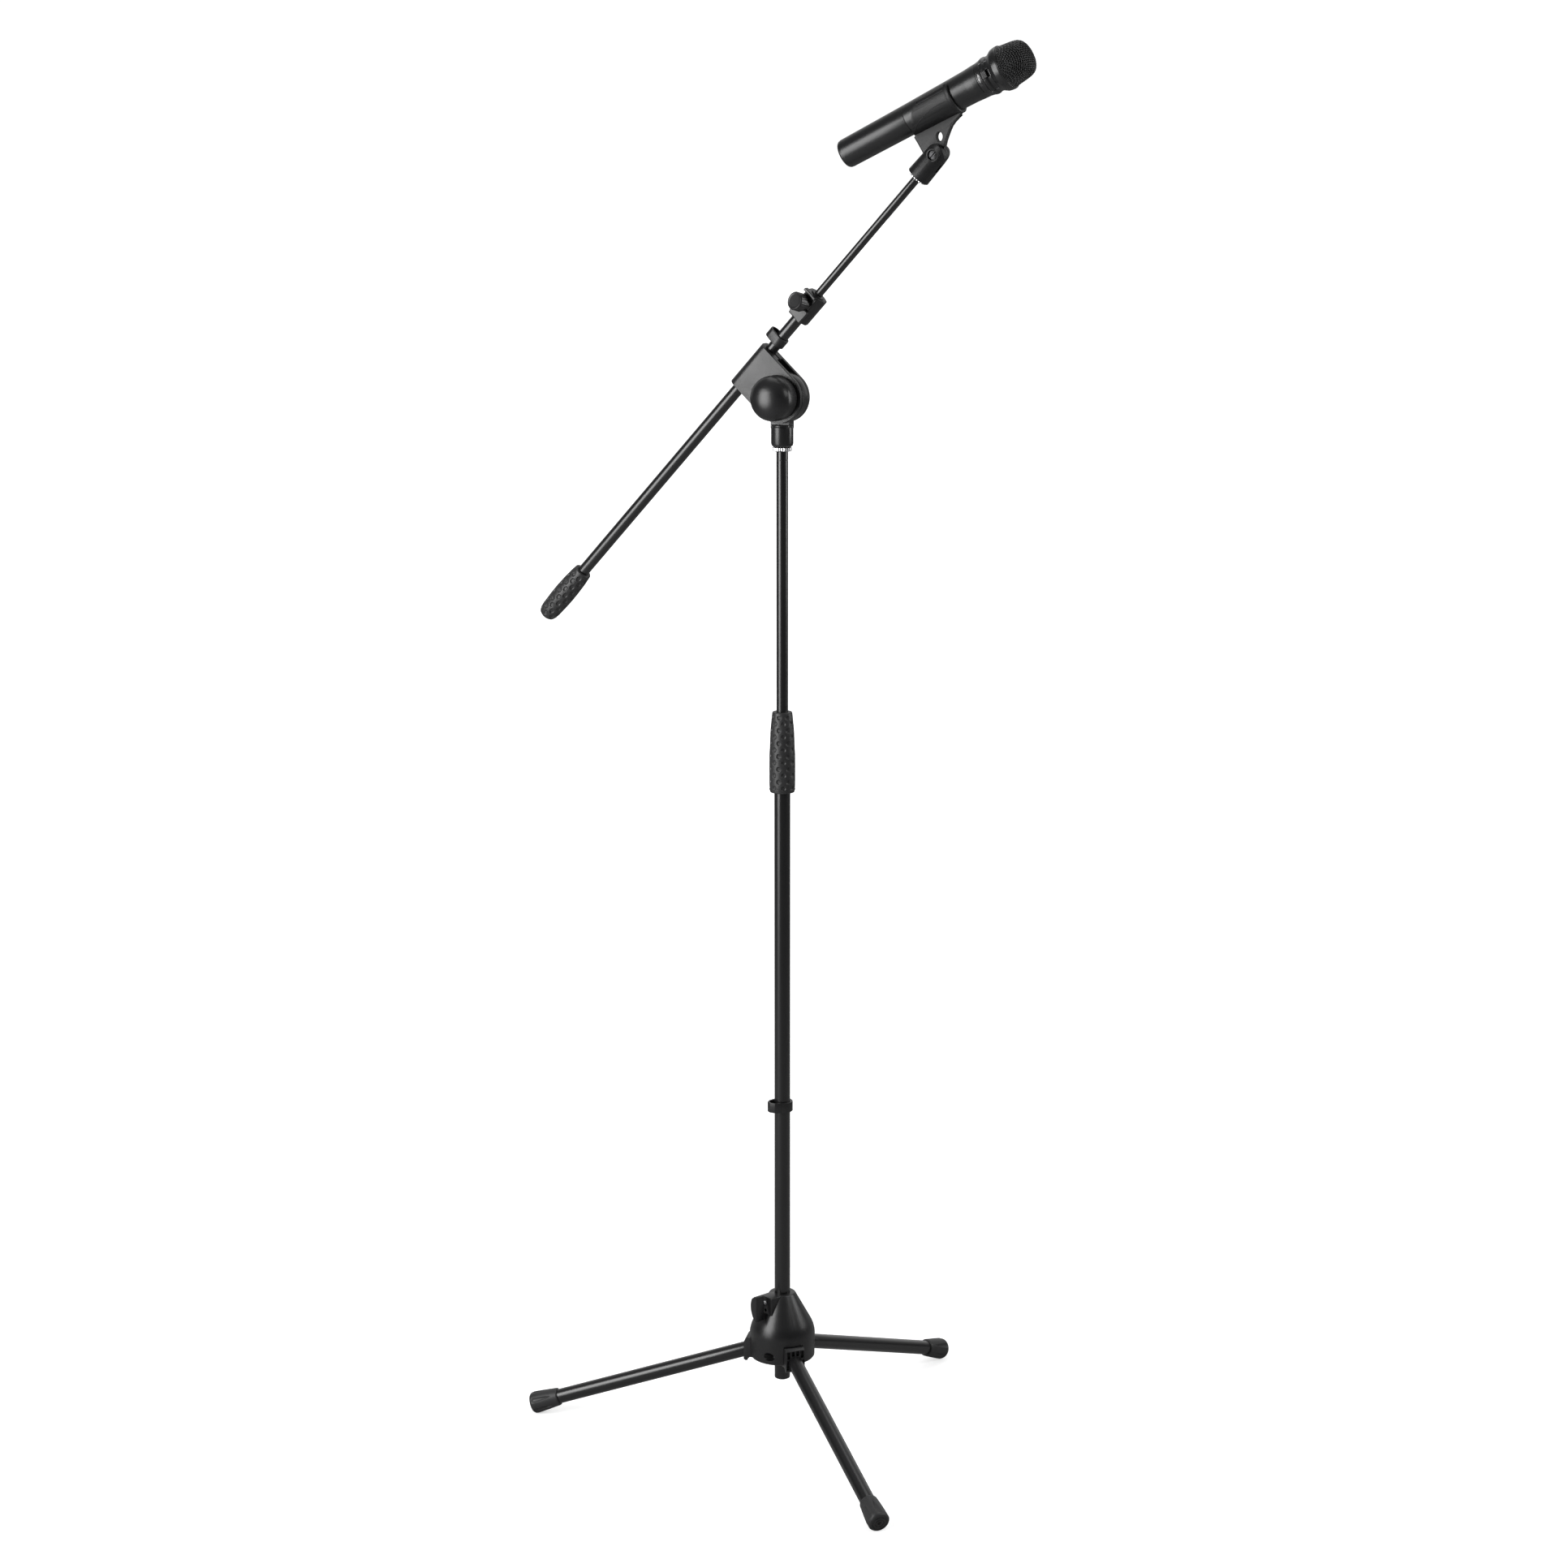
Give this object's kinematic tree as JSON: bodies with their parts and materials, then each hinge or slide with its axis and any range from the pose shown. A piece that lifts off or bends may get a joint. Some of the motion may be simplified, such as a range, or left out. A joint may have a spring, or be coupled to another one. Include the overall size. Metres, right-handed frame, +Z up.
{
  "type": "boom microphone stand",
  "caption": "Black tripod floor stand with folding legs, telescoping column, tilting boom arm and a clip holding a handheld microphone",
  "frame": {"origin": "on the floor, on the column axis, under the centre of the tripod hub", "axes": "+Z up along the column; the boom lies in the XZ plane with the microphone end towards +X; the tilt knob is on the -Y side"},
  "size_m": [0.6334, 0.5394, 1.6716],
  "materials": {
    "die_cast_black": "semi-gloss black paint on die-cast metal",
    "tube_black": "gloss black powder coat on steel tube",
    "steel_zinc": "zinc-plated steel",
    "chrome_steel": "bright chrome plate",
    "brass": "turned brass",
    "knob_plastic": "moulded black plastic, satin",
    "holder_plastic": "moulded black nylon",
    "foot_plastic": "matte black soft plastic",
    "grip_plastic": "matte dark grey soft-touch moulding",
    "clip_plastic": "matte black flexible plastic",
    "mic_clip_plastic": "satin black moulded plastic",
    "white_nylon": "natural nylon",
    "fibre_disc": "dark fibre friction disc",
    "mic_paint": "satin charcoal paint on aluminium",
    "mic_collar_plastic": "satin black moulded plastic with a glossy window",
    "grille_wire": "black coated woven steel wire",
    "capsule_metal": "nickel-plated capsule housing",
    "foam": "open-cell foam liner",
    "circuit_board": "green solder mask",
    "battery_cell": "plain battery can",
    "switch_plastic": "glossy black switch"
  },
  "bodies": {
    "base": {"hub_casting": "die_cast_black", "leg_pivot_pins": "steel_zinc", "base_clamp_pad": "brass"},
    "base_knob": {"base_clamp_screw": "chrome_steel", "base_clamp_knob": "knob_plastic"},
    "column": {"lower_tube": "tube_black", "tube_end_plug": "foot_plastic", "clutch_collar": "steel_zinc", "clutch_collet": "white_nylon"},
    "column_clip": {"column_cable_clip": "clip_plastic"},
    "clutch": {"clutch_grip": "grip_plastic"},
    "mast_guide": {"mast_guide_bush": "white_nylon"},
    "mast": {"upper_tube": "tube_black", "mast_stud": "steel_zinc", "swivel_socket": "die_cast_black", "swivel_thread_insert": "brass"},
    "lock_ring": {"lock_ring": "chrome_steel"},
    "boom_head": {"boom_clevis": "die_cast_black", "friction_discs": "fibre_disc", "pivot_bolt": "steel_zinc", "pivot_washer": "steel_zinc"},
    "tilt_knob": {"tilt_knob": "knob_plastic", "tilt_knob_insert": "brass"},
    "boom": {"boom_rear_tube": "tube_black", "boom_end_plug": "foot_plastic", "boom_grip": "grip_plastic", "boom_lock_block": "die_cast_black", "boom_lock_insert": "brass"},
    "boom_clip": {"boom_cable_clip": "clip_plastic"},
    "boom_lock": {"boom_lock_screw": "chrome_steel", "boom_lock_knob": "knob_plastic"},
    "rod": {"boom_front_rod": "tube_black", "rod_tail_bush": "white_nylon", "rod_stud": "chrome_steel"},
    "clip_base": {"clip_base": "mic_clip_plastic", "clip_thread_insert": "chrome_steel", "clip_screw": "chrome_steel", "clip_nut": "steel_zinc"},
    "clip_cradle": {"clip_cradle": "mic_clip_plastic"},
    "mic": {"mic_rear_cover": "mic_paint", "mic_body": "mic_paint", "mic_collar": "mic_collar_plastic", "mic_grille": "grille_wire", "mic_capsule": "capsule_metal", "mic_foam": "foam", "mic_board": "circuit_board", "mic_batteries": "battery_cell"},
    "mic_switch": {"mic_switch": "switch_plastic"},
    "leg_front": {"leg_holder_front": "holder_plastic", "leg_tube_front": "tube_black", "leg_foot_front": "foot_plastic"},
    "leg_right": {"leg_holder_right": "holder_plastic", "leg_tube_right": "tube_black", "leg_foot_right": "foot_plastic"},
    "leg_left": {"leg_holder_left": "holder_plastic", "leg_tube_left": "tube_black", "leg_foot_left": "foot_plastic"}
  },
  "joints": [
    {"name": "leg_front_fold", "type": "hinge", "parent": "base", "child": "leg_front", "pos_m": [0.02031, -0.01927, 0.10865], "axis": [0.6884, 0.7254, 0], "range_deg": [0, 70]},
    {"name": "leg_right_fold", "type": "hinge", "parent": "base", "child": "leg_right", "pos_m": [0.00725, 0.02705, 0.10865], "axis": [-0.9659, 0.2588, 0], "range_deg": [0, 70]},
    {"name": "leg_left_fold", "type": "hinge", "parent": "base", "child": "leg_left", "pos_m": [-0.02694, -0.00762, 0.10865], "axis": [0.2723, -0.9622, 0], "range_deg": [0, 70]},
    {"name": "base_knob_turn", "type": "hinge", "parent": "base", "child": "base_knob", "pos_m": [-0.00749, -0.01854, 0.1722], "axis": [-0.3746, -0.9272, 0], "range_deg": [0, 270]},
    {"name": "column_slide", "type": "slide", "parent": "base", "child": "column", "axis": [0, 0, 1], "range_m": [-0.2, 0.01]},
    {"name": "column_clip_slide", "type": "slide", "parent": "column", "child": "column_clip", "axis": [0, 0, 1], "range_m": [0, 0.35]},
    {"name": "clutch_turn", "type": "hinge", "parent": "column", "child": "clutch", "pos_m": [0, 0, 0.85], "axis": [0, 0, 1], "range_deg": [0, 120]},
    {"name": "height_slide", "type": "slide", "parent": "column", "child": "mast_guide", "axis": [0, 0, 1], "range_m": [-0.29, 0.28]},
    {"name": "mast_turn", "type": "hinge", "parent": "mast_guide", "child": "mast", "pos_m": [0, 0, 0.49], "axis": [0, 0, 1], "continuous": true},
    {"name": "lock_ring_turn", "type": "hinge", "parent": "mast", "child": "lock_ring", "pos_m": [0, 0, 1.2118], "axis": [0, 0, 1], "range_deg": [0, 180]},
    {"name": "boom_tilt", "type": "hinge", "parent": "mast", "child": "boom_head", "pos_m": [0, 0, 1.272], "axis": [0, -1, 0], "range_deg": [-75, 42]},
    {"name": "tilt_knob_turn", "type": "hinge", "parent": "boom_head", "child": "tilt_knob", "pos_m": [0, 0, 1.272], "axis": [0, -1, 0], "range_deg": [0, 270]},
    {"name": "boom_slide", "type": "slide", "parent": "boom_head", "child": "boom", "axis": [0.6807, 0, 0.7325], "range_m": [0, 0.29]},
    {"name": "boom_clip_slide", "type": "slide", "parent": "boom", "child": "boom_clip", "axis": [0.6807, 0, 0.7325], "range_m": [0, 0.02]},
    {"name": "boom_lock_turn", "type": "hinge", "parent": "boom", "child": "boom_lock", "pos_m": [0.03432, 0, 1.37798], "axis": [-0.2499, -0.94, 0.2323], "range_deg": [0, 270]},
    {"name": "rod_slide", "type": "slide", "parent": "boom", "child": "rod", "axis": [0.6807, 0, 0.7325], "range_m": [-0.12, 0.2]},
    {"name": "clip_swivel", "type": "hinge", "parent": "rod", "child": "clip_base", "pos_m": [0.17319, 0, 1.52742], "axis": [0.6807, 0, 0.7325], "range_deg": [-180, 180]},
    {"name": "clip_tilt", "type": "hinge", "parent": "clip_base", "child": "clip_cradle", "pos_m": [0.19157, 0, 1.5472], "axis": [0, -1, 0], "range_deg": [-100, 20]},
    {"name": "mic_pull_out", "type": "slide", "parent": "clip_cradle", "child": "mic", "axis": [0.8996, 0, 0.4368], "range_m": [0, 0.16]},
    {"name": "mic_switch_slide", "type": "slide", "parent": "mic", "child": "mic_switch", "axis": [0.8996, 0, 0.4368], "range_m": [0, 0.003]}
  ]
}
